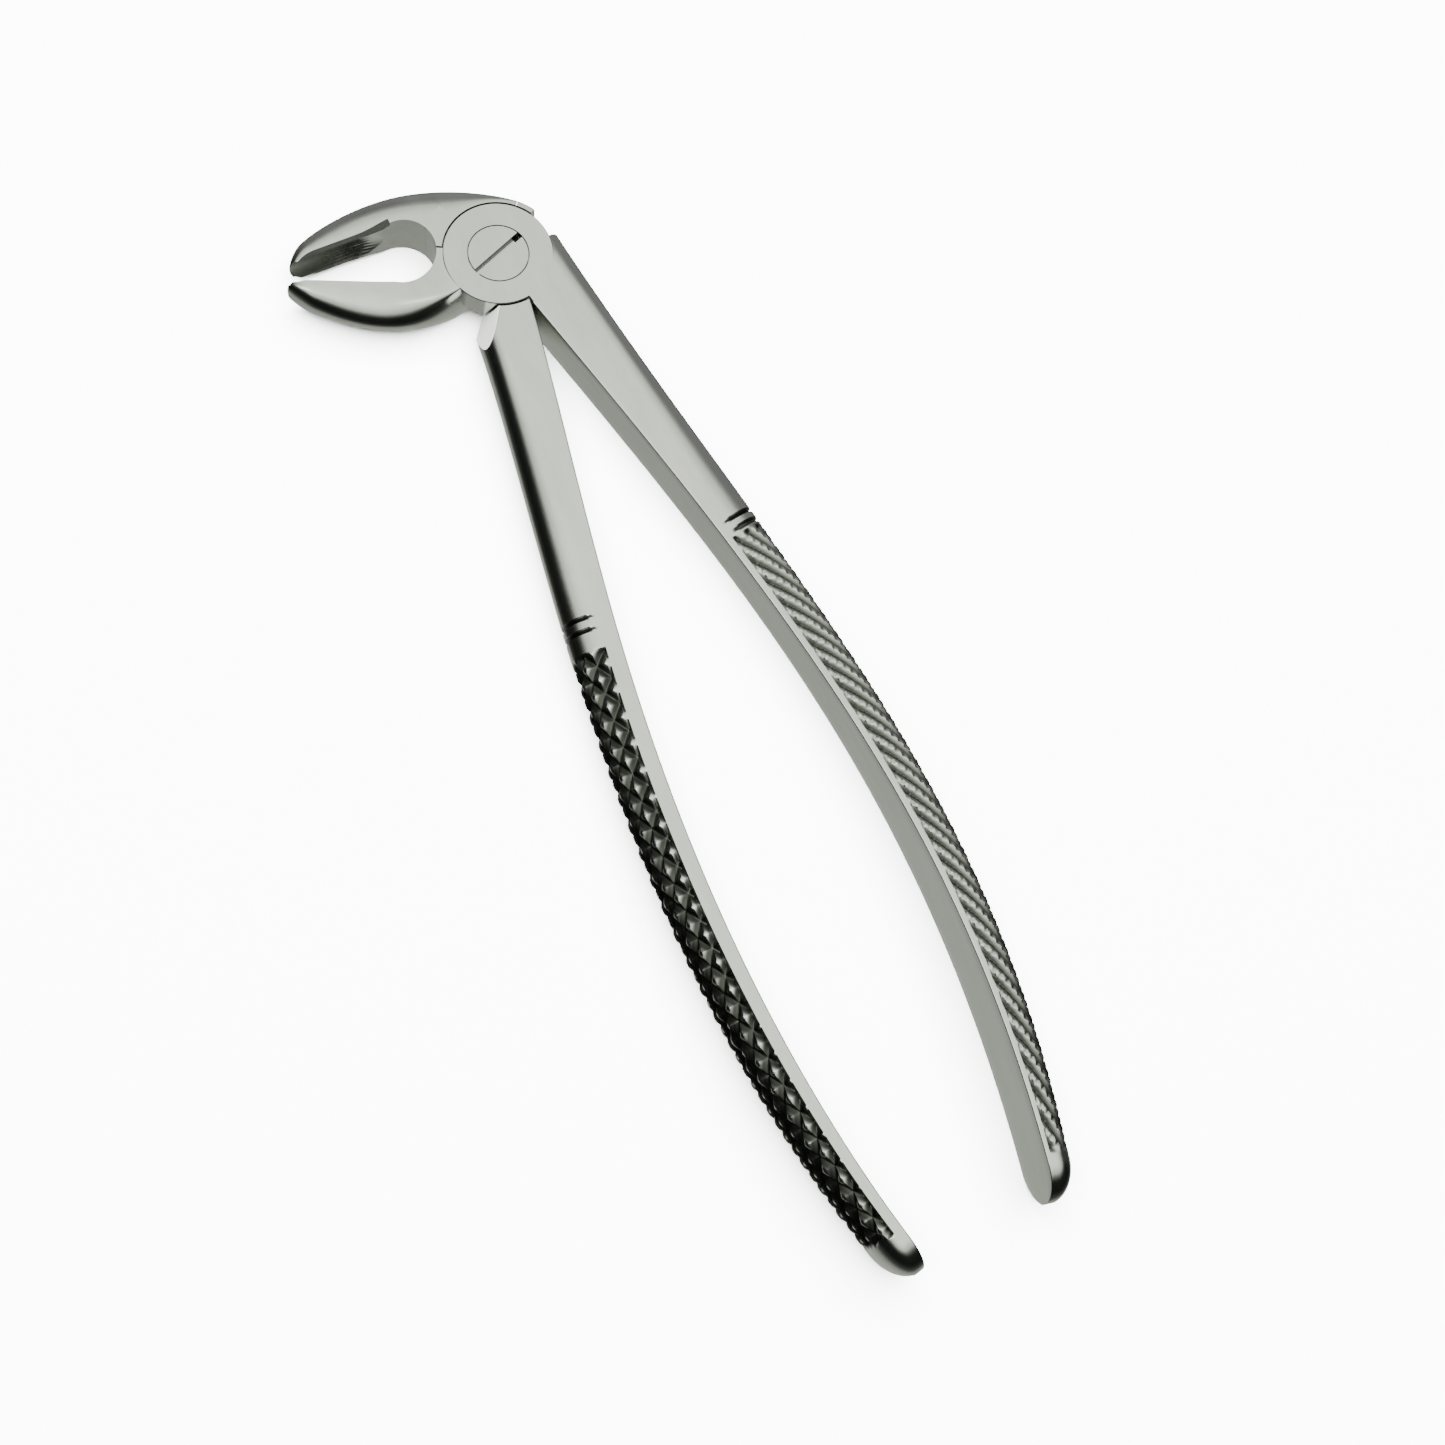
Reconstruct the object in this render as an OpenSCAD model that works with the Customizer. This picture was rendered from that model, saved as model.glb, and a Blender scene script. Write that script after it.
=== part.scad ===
// Extraction forceps with bent beaks: two forged halves crossing at one slotted pivot screw.
// Millimetres. Z is the pivot axis, the handles run along -Y, the beaks reach towards -X.
// The tool lies on its flat rear side at z = 0, drawn closed onto its stop.

/* [Joint] */
// thickness of the two laminae together
joint_thickness = 9; // [7:0.1:12]
// radius of the round front lamina
front_disc_radius = 8.2; // [6.5:0.1:10]
// how much smaller the round rear lamina is, on the radius
rear_disc_step = 1.9; // [0.5:0.1:2.5]
// air between the two laminae
lamina_gap = 0.08; // [0.04:0.01:0.3]
// air between a round lamina and the recess it turns in
recess_gap = 0.18; // [0.1:0.01:0.4]
// air between the front lamina and the top of the rear handle
handle_top_gap = 0.35; // [0.2:0.05:0.8]
// angle where the two beak roots meet beside the throat
seam_angle = 151; // [148:0.5:154]
// opening between the meeting faces of the two beak roots, in degrees at the pivot
seam_gap = 1.4; // [0.8:0.1:3]
// angle where the rear shoulder ends above the front handle
shoulder_end_angle = 30; // [24:1:36]
// thickness of the rear shoulder at that end
shoulder_end_width = 1.3; // [0.6:0.1:2]
// angle of the front beak's stop face, seen from the pivot
front_stop_angle = -149; // [-156:1:-144]
// how far the front half turns open before its stop face lands, in degrees
opening_travel = 18; // [8:1:20]
// spare angle left at the open stop, in degrees
stop_spare = 1; // [0.5:0.1:2]

/* [Pivot screw] */
// radius of the flat screw head
head_radius = 4.5; // [3.6:0.1:5.4]
// thickness of the screw head
head_height = 1.6; // [1.2:0.1:2.2]
// radius of the plain shank and of its fixed end
shank_radius = 2.4; // [1.8:0.1:2.9]
// running clearance between shank and bore, on the radius
shank_clearance = 0.04; // [0.02:0.01:0.08]
// air around the screw head in its counterbore
head_clearance = 0.12; // [0.08:0.01:0.25]
// air under the screw head
head_float = 0.05; // [0.03:0.01:0.15]
// width of the driver slot
slot_width = 1; // [0.7:0.05:1.4]
// depth of the driver slot
slot_depth = 0.9; // [0.6:0.1:1.2]
// direction the driver slot points
slot_angle = 20.5; // [-90:0.5:90]

/* [Handles] */
// distance from the pivot to the end of the handles
handle_reach = 157.5; // [125:0.5:190]
// sideways place of the front handle's end
front_tip_x = 9.6; // [6:0.5:20]
// sideways place of the rear handle's end
rear_tip_x = -9.6; // [-20:0.5:-6]
// lean of the front handle where it leaves the joint
front_root_lean = 13.1; // [8:0.2:20]
// lean of the rear handle where it leaves the joint
rear_root_lean = 5.5; // [2:0.2:14]
// inward lean of both handles at their ends
tip_lean = 13.4; // [6:0.2:20]
// length over which the front handle keeps its first direction
front_root_run = 56; // [30:1:70]
// length over which the rear handle keeps its first direction
rear_root_run = 29; // [12:1:60]
// length over which both handles keep their last direction
tip_run = 62; // [35:1:75]
// direction of the line where the two handles part below the joint
crotch_angle = -81.3; // [-84:0.1:-78]
// opening between the handles along that line, in degrees at the pivot
crotch_gap = 2; // [1:0.1:4]
// thickness of the front handle at the joint, in the plane of opening
front_root_width = 10.8; // [8:0.1:12]
// front handle's thickness control a third of the way along
front_neck_width = 4.1; // [3.6:0.1:7]
// front handle's thickness control two thirds of the way along
front_grip_width = 8.5; // [7:0.1:10]
// thickness of the rear handle at the joint, in the plane of opening
rear_root_width = 9.3; // [8:0.1:11.5]
// rear handle's thickness control a third of the way along
rear_neck_width = 6.6; // [4.5:0.1:8]
// rear handle's thickness control two thirds of the way along
rear_grip_width = 7.4; // [6:0.1:9]
// thickness of both handles at their ends
tip_width = 4; // [2.4:0.1:6]
// depth the handles gain on the front side between joint and grip
grip_flare = 5; // [0:0.2:7]
// distance from the pivot where the flare begins
flare_start = 55; // [30:1:80]
// length of the flare
flare_run = 88; // [40:1:110]
// length of the rounded handle end
tip_round = 5; // [3:0.5:12]
// share of the handle front left flat at the joint
root_flat = 0.62; // [0.3:0.01:0.8]
// share of the handle front left flat along the grip
grip_flat = 0.26; // [0.1:0.01:0.5]
// squareness of the convex outer side, 2 is an ellipse
outer_squareness = 2.4; // [2:0.1:4]
// slope of the facet ground on the rear handle's shoulder, in degrees
facet_slope = 25; // [10:1:40]

/* [Beaks] */
// radius of the round throat between the beaks
throat_radius = 4.85; // [3.6:0.1:6]
// how far the gripping faces start inside the throat circle
heel_inset = 0.12; // [0.05:0.01:0.4]
// metal left between the throat and the round lamina
throat_web = 0.9; // [0.4:0.05:1.5]
// direction of the throat centre from the pivot
throat_angle = 155; // [152:0.2:157]
// reach of the beak tips to the side
beak_reach = 28.6; // [23:0.2:36]
// opening between the beak tips on the closed stop
tip_gap = 2.3; // [1:0.1:6]
// how much further the front half's beak reaches
front_tip_lead = 1.6; // [0:0.1:2.4]
// greatest thickness of the rear half's beak
rear_beak_width = 4.9; // [4:0.1:7]
// greatest thickness of the front half's beak
front_beak_width = 5.7; // [4:0.1:7]
// thickness of both beaks at the tip
beak_tip_width = 1.5; // [1:0.1:3]
// depth of the beak tips along the pivot axis
beak_tip_depth = 6.4; // [4:0.1:8]
// depth hollowed into the gripping faces
face_hollow = 0.45; // [0.1:0.05:1]
// share of the beak fronts left flat where they leave the joint
root_front_flat = 0.92; // [0.5:0.01:0.95]
// share of the rear beak's front left flat past its root
rear_beak_flat = 0.3; // [0.1:0.01:0.6]
// share of the front beak's front left flat at the tip
front_beak_flat = 0.45; // [0.1:0.01:0.6]
// reach of the full-depth metal between the rear lamina's recess and the throat
rear_web_reach = 11.5; // [10:0.1:12]
// squareness of the beak backs, 2 is an ellipse
back_squareness = 2.3; // [2:0.1:4]

/* [Hidden] */
$fn = 96;
steel_front = "#a9aca5";
steel_rear = "#9fa39c";
steel_screw = "#b7bab2";
over = 5;                                 // how far a cutting tool runs past the metal
far = 60;                                 // beyond any metal near the joint
side_points = 9;                          // steps down the convex back of a section
face_points = 4;                          // steps up the face of a section
handle_stations = 44;
beak_stations = 26;
handle_start = 7.5;                       // how far a handle is drawn back into the joint
mid = joint_thickness / 2;
rear_disc_radius = front_disc_radius - rear_disc_step;
root_y = -front_disc_radius - 1.1;
rear_root_x = 1.4;                        // inner edges of the two handles at that height
front_root_x = 1.4;
throat_distance = front_disc_radius + throat_web + throat_radius;
throat = throat_distance * [cos(throat_angle), sin(throat_angle)];
rear_tip = [-beak_reach, throat[1] + throat_radius];
front_tip = rear_tip - [front_tip_lead, tip_gap];
tangent_angle = angle_of(front_tip - throat) + acos(throat_radius / norm(front_tip - throat));
front_heel = throat + polar(throat_radius - heel_inset, tangent_angle);
rear_heel = throat + [0, throat_radius - heel_inset];
front_along = unit(front_tip - front_heel);
front_out = [-front_along[1], front_along[0]];
hollow_half = beak_tip_depth / 2 - 0.3;   // half the depth the hollow spans
hollow_lead = 1.3;                        // how far back into the throat the hollow starts
hollow_radius = (pow(hollow_half, 2) + pow(face_hollow, 2)) / (2 * face_hollow);

function angle_of(v) = atan2(v[1], v[0]) + (v[1] < 0 ? 360 : 0);
function unit(v) = v / norm(v);
function polar(r, a) = r * [cos(a), sin(a)];
function down(a) = [sin(a), -cos(a)];     // a direction leaning a degrees off -Y
function ease(t) = let (s = max(0, min(1, t))) s * s * (3 - 2 * s);
function bez(p, t) = pow(1 - t, 3) * p[0] + 3 * t * pow(1 - t, 2) * p[1]
  + 3 * t * t * (1 - t) * p[2] + pow(t, 3) * p[3];
function bez_slope(p, t) = 3 * pow(1 - t, 2) * (p[1] - p[0]) + 6 * t * (1 - t) * (p[2] - p[1])
  + 3 * t * t * (p[3] - p[2]);

front_half();
rear_half();
pivot_screw();

// ---- closed skin over rings of equal length ----
module skin(rings) {
  n = len(rings);
  m = len(rings[0]);
  first = [[for (j = [m - 1:-1:0]) j]];
  last = [[for (j = [0:m - 1]) (n - 1) * m + j]];
  sides = [for (i = [0:n - 2], j = [0:m - 1]) let (k = (j + 1) % m)
    each [[i * m + j, i * m + k, (i + 1) * m + k], [i * m + j, (i + 1) * m + k, (i + 1) * m + j]]];
  polyhedron([for (r = rings) each r], concat(first, sides, last), convexity = 8);
}

// section with a flat face at p and a convex back reaching q, from z0 up to z1
function section(p, q, z0, z1, flat, square) =
  let (h = (z1 - z0) / 2, c = (z0 + z1) / 2, e = 2 / square)
  let (face = [for (i = [0:face_points - 1]) [0, z0 + (z1 - z0) * i / face_points]])
  let (front = [[0, z1]])
  let (back = [for (i = [0:side_points]) let (a = 90 - 180 * i / side_points)
    [flat + (1 - flat) * pow(abs(cos(a)), e), c + h * sign(a) * pow(abs(sin(a)), e)]])
  [for (v = concat(face, front, back)) let (g = p + (q - p) * v[0]) [g[0], g[1], v[1]]];
function turned(r) = [for (i = [len(r) - 1:-1:0]) r[i]];

// ---- handles ----
front_edge = let (a = [front_root_x, root_y] - handle_start * down(front_root_lean),
    d = [front_tip_x, -handle_reach])
  [a, a + front_root_run * down(front_root_lean), d - tip_run * down(-tip_lean), d];
rear_edge = let (a = [rear_root_x, root_y] - handle_start * down(-rear_root_lean),
    d = [rear_tip_x, -handle_reach])
  [a, a + rear_root_run * down(-rear_root_lean), d - tip_run * down(tip_lean), d];
front_widths = [front_root_width, front_neck_width, front_grip_width, tip_width];
rear_widths = [rear_root_width, rear_neck_width, rear_grip_width, tip_width];
function handle_depth(y) = joint_thickness + grip_flare * ease((-y - flare_start) / flare_run);
function rounding(s) = sqrt(max(0.05, 1 - pow(max(0, s), 2)));

module handle(edge, widths, side) {
  skin([for (i = [0:handle_stations]) let (t = i / handle_stations)
    let (p = bez(edge, t), d = unit(bez_slope(edge, t)), out = side * [-d[1], d[0]])
    let (close = rounding((-p[1] - handle_reach + tip_round) / tip_round))
    let (deep = handle_depth(p[1]), flat = root_flat + (grip_flat - root_flat) * ease((-p[1] - 12) / 45))
    let (r = section(p, p + out * bez(widths, t) * (0.4 + 0.6 * close), deep * (1 - close) / 2,
      deep * (1 + close) / 2, flat, outer_squareness))
    side > 0 ? r : turned(r)]);
}

// ---- beaks ----
function front_flat(t, end_flat, run) = root_front_flat + (end_flat - root_front_flat) * ease(t / run);
module rear_beak() {
  outer = [polar(front_disc_radius + shoulder_end_width, shoulder_end_angle),
    [throat[0] + 14.2, rear_tip[1] + 5.8], [throat[0] - 6.2, rear_tip[1] + rear_beak_width + 3.6],
    rear_tip + [-0.2, beak_tip_width]];
  inner = [polar(4, shoulder_end_angle), [-3, 7], [throat[0], rear_tip[1]], rear_tip - [0, 0.6]];
  skin([for (i = [0:beak_stations]) let (t = i / beak_stations)
    let (close = rounding((t - 0.93) / 0.07), top = joint_thickness - (joint_thickness - beak_tip_depth)
      / 2 * ease((t - 0.48) / 0.3))
    let (half = (top - mid) * (0.35 + 0.65 * close))
    turned(section(bez(inner, t), bez(outer, t), mid - half, mid + half,
      front_flat(t, rear_beak_flat, 0.4), back_squareness))]);
}
module rear_web() {                        // fills the rear beak's root down to the seam
  seam = seam_angle - seam_gap / 2;
  linear_extrude(joint_thickness) polygon([[0, 0], polar(rear_web_reach, seam - 35),
    polar(rear_web_reach, seam - 10), polar(rear_web_reach, seam)]);
}
module front_beak() {
  outer = [[-5, -2.8], [-12.4, -front_beak_width], [-20.2, -front_beak_width - 0.3],
    front_tip + beak_tip_width * front_out];
  inner = [[-3, 4], [-9, 8], [-20, 8.6], front_tip - 0.5 * front_out];
  skin([for (i = [0:beak_stations]) let (t = i / beak_stations)
    let (close = rounding((t - 0.93) / 0.07), top = joint_thickness - (joint_thickness - beak_tip_depth)
      / 2 * ease((t - 0.1) / 0.5))
    let (half = (top - mid) * (0.35 + 0.65 * close))
    section(bez(inner, t), bez(outer, t), mid - half, mid + half,
      front_flat(t, front_beak_flat, 0.95), back_squareness)]);
}

// ---- what is cut away ----
module throat_gap() {                      // the round throat and the gap out to the tips
  translate([0, 0, -over]) {
    translate([throat[0], throat[1], 0]) cylinder(r = throat_radius, h = joint_thickness + 2 * over);
    linear_extrude(joint_thickness + 2 * over)
      polygon([throat, rear_heel, rear_tip - [over, 0], front_tip + over * front_along, front_heel]);
  }
}
module hollow(heel, along, inward) {       // long shallow hollow in a gripping face
  c = heel - inward * (hollow_radius - face_hollow) - hollow_lead * along;
  translate([c[0], c[1], mid]) rotate(angle_of(along)) rotate([0, 90, 0])
    cylinder(r = hollow_radius, h = beak_reach + over);
}
module sector(from, to, reach) {           // a wedge seen from the pivot
  translate([0, 0, -over]) linear_extrude(2 * over + 4 * mid)
    polygon([[0, 0], polar(reach, from), polar(reach * 1.2, (from + to) / 2), polar(reach, to)]);
}
module slice(r, z0, z1) { translate([0, 0, z0]) cylinder(r = r, h = z1 - z0); }

// ---- the two forgings before the pivot is machined ----
module front_blank() {
  difference() {
    union() {
      difference() {
        front_beak();
        sector(90, seam_angle + seam_gap / 2, throat_distance - 1);
        sector(front_stop_angle, front_stop_angle + 60, far);
      }
      difference() {
        handle(front_edge, front_widths, 1);
        sector(crotch_angle - 60, crotch_angle + crotch_gap / 2, -root_y);
      }
    }
    throat_gap();
    hollow(front_heel, front_along, front_out);
  }
}
module rear_blank() {
  stop = front_stop_angle + opening_travel + stop_spare;
  difference() {
    union() {
      difference() {
        rear_beak();
        sector(seam_angle - seam_gap / 2, seam_angle + 50, throat_distance - 1);
      }
      rear_web();
      difference() {
        handle(rear_edge, rear_widths, -1);
        sector(stop - 60, stop, far);
        slice(front_disc_radius + handle_top_gap, mid - lamina_gap / 2, joint_thickness + over);
        facet();
        sector(crotch_angle - crotch_gap / 2, crotch_angle + 60, -root_y);
      }
    }
    throat_gap();
    hollow(rear_heel, [-1, 0], [0, 1]);
  }
}

module front_half() {
  color(steel_front) difference() {
    union() {
      difference() {
        resize([0, 0, 0]) front_blank();    // no change of size: makes the forging one mesh
        slice(rear_disc_radius + recess_gap, -over, mid + lamina_gap / 2);
      }
      slice(front_disc_radius, mid + lamina_gap / 2, joint_thickness);
    }
    slice(shank_radius + shank_clearance, -over, joint_thickness + over);
    slice(head_radius + head_clearance, joint_thickness - head_height - head_float,
      joint_thickness + over);
  }
}

module rear_half() {
  color(steel_rear) difference() {
    union() {
      difference() {
        resize([0, 0, 0]) rear_blank();     // no change of size: makes the forging one mesh
        slice(front_disc_radius + recess_gap, mid - lamina_gap / 2, joint_thickness + over);
      }
      slice(rear_disc_radius, 0, mid - lamina_gap / 2);
    }
    slice(shank_radius, -over, joint_thickness + over);
  }
}
module facet() {                           // ground on the outer front edge of the rear handle
  translate([-3.7, -front_disc_radius, joint_thickness]) rotate(-123.5) rotate([-facet_slope, 0, 0])
    translate([-over, -far, -far]) cube([far, far, far + over]);
}

module pivot_screw() {
  color(steel_screw) difference() {
    union() {
      slice(head_radius, joint_thickness - head_height, joint_thickness);
      slice(shank_radius, 0, joint_thickness - head_height);
    }
    rotate(slot_angle) translate([-head_radius - over, -slot_width / 2, joint_thickness - slot_depth])
      cube([2 * (head_radius + over), slot_width, slot_depth + over]);
  }
}
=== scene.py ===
# Extraction forceps: two forged halves and a slotted pivot screw in brushed steel.
# Sizes are in millimetres in the CAD row frame; putMesh turns them into metres.
import math

import bpy
import numpy as np
from mathutils import Matrix, Vector


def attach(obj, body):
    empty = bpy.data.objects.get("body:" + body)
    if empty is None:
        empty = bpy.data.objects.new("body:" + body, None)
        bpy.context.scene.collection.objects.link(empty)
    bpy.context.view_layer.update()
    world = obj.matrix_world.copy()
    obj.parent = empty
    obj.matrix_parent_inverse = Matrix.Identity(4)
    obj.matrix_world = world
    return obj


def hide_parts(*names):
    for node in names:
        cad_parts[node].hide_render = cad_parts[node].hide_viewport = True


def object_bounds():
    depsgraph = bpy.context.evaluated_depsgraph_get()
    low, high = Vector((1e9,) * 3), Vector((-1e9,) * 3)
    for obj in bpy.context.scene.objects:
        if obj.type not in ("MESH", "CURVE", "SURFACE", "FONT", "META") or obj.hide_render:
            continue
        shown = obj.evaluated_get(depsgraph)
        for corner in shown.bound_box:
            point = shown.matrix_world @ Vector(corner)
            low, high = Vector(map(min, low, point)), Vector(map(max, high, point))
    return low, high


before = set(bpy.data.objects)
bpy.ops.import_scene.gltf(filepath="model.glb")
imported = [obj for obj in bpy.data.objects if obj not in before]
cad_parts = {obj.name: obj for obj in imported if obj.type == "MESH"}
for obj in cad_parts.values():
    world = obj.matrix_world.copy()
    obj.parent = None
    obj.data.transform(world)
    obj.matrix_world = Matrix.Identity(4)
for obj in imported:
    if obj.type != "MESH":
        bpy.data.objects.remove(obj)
cadLow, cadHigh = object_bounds()
mm = 0.001
print("frame loaded:", ", ".join(sorted(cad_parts)))

joint = {
    "thickness": 9.0,
    "frontDisc": 8.2,
    "rearDisc": 6.3,
    "laminaGap": 0.08,
    "recessGap": 0.18,
    "handleTopGap": 0.35,
    "seamAngle": 151.0,
    "seamGap": 1.4,
    "crotchAngle": -81.3,
    "crotchGap": 2.0,
    "frontStop": -149.0,
    "rearStop": -130.0,
    "edgeBreak": 0.12,        # small chamfer that catches the light on turned edges
}
mid = joint["thickness"] / 2


# Directions, easing and curves in the plan, all in millimetres and degrees.
def polar(radius, degrees):
    # x = r cos a, y = r sin a
    return np.array([radius * math.cos(math.radians(degrees)), radius * math.sin(math.radians(degrees))])


def leaning(degrees):
    # a direction leaning so many degrees off -Y
    return np.array([math.sin(math.radians(degrees)), -math.cos(math.radians(degrees))])


def unit(vector):
    # the vector divided by its length
    return vector / np.linalg.norm(vector)


def ease(t):
    # 3t^2 - 2t^3, held at 0 and 1 outside
    t = np.clip(t, 0, 1)
    return t * t * (3 - 2 * t)


def bezier(points, t):
    # cubic Bezier curve: sum of binomial weights times the four points
    p, t = np.asarray(points, float), np.asarray(t, float)[..., None]
    return (1 - t) ** 3 * p[0] + 3 * t * (1 - t) ** 2 * p[1] + 3 * t * t * (1 - t) * p[2] + t ** 3 * p[3]


def bezierSlope(points, t):
    # derivative of the same curve
    p, t = np.asarray(points, float), np.asarray(t, float)[..., None]
    return 3 * (1 - t) ** 2 * (p[1] - p[0]) + 6 * t * (1 - t) * (p[2] - p[1]) + 3 * t * t * (p[3] - p[2])


def rounding(s):
    # how far a rounded end has closed: sqrt(1 - s^2) past its start, kept a little above zero
    return np.sqrt(np.maximum(0.03, 1 - np.clip(s, 0, 1) ** 2))


# How many steps round a turned part, the throat and the hollow of a gripping face.
roundSteps = {"turned": 192, "throat": 160, "hollow": 2200}


def putMesh(name, points, faces):
    mesh = bpy.data.meshes.new(name)
    mesh.from_pydata((np.asarray(points) * mm).tolist(), [], faces)
    mesh.update()
    piece = bpy.data.objects.new(name, mesh)
    bpy.context.scene.collection.objects.link(piece)
    return piece


def skin(name, rings, cutShare=None):
    # closed surface through rings (n, m, 3): quads between rings, a fan to the middle at each end;
    # the last argument (n, m) is the share of painted shade, 1 at the bottom of a cut and 0 on untouched
    # metal
    n, m = rings.shape[:2]
    i, j = np.meshgrid(np.arange(n - 1), np.arange(m), indexing="ij")
    k = (j + 1) % m
    quads = np.stack([i * m + j, i * m + k, (i + 1) * m + k, (i + 1) * m + j], -1).reshape(-1, 4)
    ends = np.arange(m)
    after = (ends + 1) % m
    first = np.stack([np.full(m, n * m), after, ends], -1)
    last = np.stack([np.full(m, n * m + 1), (n - 1) * m + ends, (n - 1) * m + after], -1)
    points = np.concatenate([rings.reshape(-1, 3), rings[:1].mean(1), rings[-1:].mean(1)])
    piece = putMesh(name, points, quads.tolist() + first.tolist() + last.tolist())
    a, b, c = (points[quads[:, x]] for x in (0, 1, 2))
    volume = (np.cross(b - a, c - a) * a).sum()
    d = points[quads[:, 3]]
    volume += (np.cross(c - a, d - a) * a).sum()
    if volume < 0:
        piece.data.flip_normals()
    shares = np.zeros(len(points), np.float32)
    if cutShare is not None:
        shares[:n * m] = cutShare.ravel()
    piece.data.attributes.new("cutShare", "FLOAT", "POINT").data.foreach_set("value", shares)
    return piece


def lathe(name, profile):
    # turned solid about the pivot axis: x = r cos a, y = r sin a for each (r, z) of the profile
    a = np.arange(roundSteps["turned"]) * 2 * math.pi / roundSteps["turned"]
    r, z = np.array(profile, float).T
    rings = np.stack([r[:, None] * np.cos(a), r[:, None] * np.sin(a), z[:, None] + 0 * a], -1)
    return skin(name, rings)


def prism(name, outline, low, high):
    # a plane outline carried straight up from low to high
    ring = np.array(outline, float)
    rings = np.stack([np.column_stack([ring, np.full(len(ring), z)]) for z in (low, high)])
    return skin(name, rings)


def disc(name, radius, low, high, brokenTop=0.0, brokenBase=0.0):
    # a plain disc on the pivot axis, its edges broken by small 45 degree chamfers
    profile = [(radius - brokenBase, low), (radius, low + brokenBase),
               (radius, high - brokenTop), (radius - brokenTop, high)]
    keep = [profile[0]] + [q for p, q in zip(profile, profile[1:]) if q != p]
    return lathe(name, keep)


def combine(piece, tool, operation):
    # Boolean with one tool, written into the piece's own mesh; the tool is used up
    change = piece.modifiers.new(operation, "BOOLEAN")
    change.operation = operation
    change.solver = "MANIFOLD"
    change.object = tool
    graph = bpy.context.evaluated_depsgraph_get()
    made = bpy.data.meshes.new_from_object(piece.evaluated_get(graph))
    piece.modifiers.clear()
    old = piece.data
    piece.data = made
    bpy.data.meshes.remove(old)
    toolMesh = tool.data
    bpy.data.objects.remove(tool)
    bpy.data.meshes.remove(toolMesh)
    return piece


def cut(piece, *tools):
    for tool in tools:
        combine(piece, tool, "DIFFERENCE")
    return piece


def join(piece, *tools):
    for tool in tools:
        combine(piece, tool, "UNION")
    return piece


def finishEdges(piece, degrees=24):
    # smooth shading with the edges sharper than the angle kept crisp
    mesh = piece.data
    mesh.polygons.foreach_set("use_smooth", np.ones(len(mesh.polygons), bool))
    mesh.set_sharp_from_angle(angle=math.radians(degrees))
    mesh.update()


# Both levers share one kind of section: a straight face, two flats and a rounded back.
def sectionShape(faceSteps, flatSteps, backSteps):
    # where the points of a section lie: fractions for the face and the flats, angles for the back
    a = np.linspace(math.pi / 2, -math.pi / 2, backSteps + 1)
    return {"face": np.linspace(0, 1, faceSteps + 1), "flat": np.linspace(0, 1, flatSteps + 1)[:-1],
            "back": a}


def sectionRings(p, q, low, high, flat, square, shape, corner):
    # face at p from low to high with rounded corners, flat on both sides as far as the share flat,
    # then a superellipse |u|^k + |w|^k = 1 out to q; gives the rings (n, m, 3), the distances u from
    # the face and w in height, the direction from p to q, and which points lie on the back
    width = np.linalg.norm(q - p, axis=1)[:, None]
    half, centre = ((high - low) / 2)[:, None], ((high + low) / 2)[:, None]
    r = corner
    turn = np.linspace(0, math.pi / 2, 5)
    face = low[:, None] + r + ((high - low)[:, None] - 2 * r) * shape["face"][None, :]
    uFace, wFace = np.zeros_like(face), face
    uUp = r * (1 - np.cos(turn[1:])) + 0 * half
    wUp = high[:, None] - r * (1 - np.sin(turn[1:]))
    f = shape["flat"][None, 1:]
    uFlat = r + (flat[:, None] * width - r) * f
    wTop, wBase = high[:, None] + 0 * uFlat, low[:, None] + 0 * uFlat
    e = 2 / square
    a = shape["back"][None, :]
    uBack = width * (flat[:, None] + (1 - flat[:, None]) * np.abs(np.cos(a)) ** e)
    wBack = centre + half * np.sign(np.sin(a)) * np.abs(np.sin(a)) ** e
    u = np.concatenate([uFace, uUp, uFlat, uBack, uFlat[:, ::-1], uUp[:, ::-1]], 1)
    wDown = low[:, None] + high[:, None] - wUp[:, ::-1]
    w = np.concatenate([wFace, wUp, wTop, wBack, wBase[:, ::-1], wDown], 1)
    along = ((q - p) / width)[:, None, :]
    plan = p[:, None, :] + along * u[:, :, None]
    before = uFace.shape[1] + uUp.shape[1] + uFlat.shape[1]
    span = slice(before - 1, before + uBack.shape[1] + 1)
    return np.concatenate([plan, w[:, :, None]], 2), u, w, along, span


handleSizes = {
    "reach": 157.5,
    "start": 7.5,
    "rootY": -9.3,
    "tipLean": 13.4,
    "tipRun": 62.0,
    "tipRound": 5.0,
    "flare": 5.0,
    "flareStart": 55.0,
    "flareRun": 88.0,
    "rootFlat": 0.62,
    "gripFlat": 0.26,
    "squareness": 2.4,
    "steps": (6, 12, 88),     # steps across the face, each flat and the back
    "rootStations": 34,
    "endStations": 26,
    "corner": 0.22,           # rounding of the edges of the inner face
    "flatFrom": 12.0,         # where the front flat starts to narrow, and over what distance
    "flatRun": 45.0,
    "tipShare": 0.25,         # share of the width kept at the very tip
    # knurlShade: how soon the painted shade in the knurl cuts turns full dark
    "front": {"knurlShade": 1.3, "knurlFrom": 0.14, "knurlLead": 0.6, "rootX": 1.4, "tipX": 9.6,
              "lean": 13.1, "run": 56.0,
              "widths": (10.8, 4.1, 8.5, 4.0)},
    "rear": {"knurlShade": 2.4, "knurlFrom": 0.34, "knurlLead": 2.9, "rootX": 1.4, "tipX": -9.6,
             "lean": -5.5, "run": 29.0,
             "widths": (9.3, 6.6, 7.4, 4.0)},
}
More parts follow.
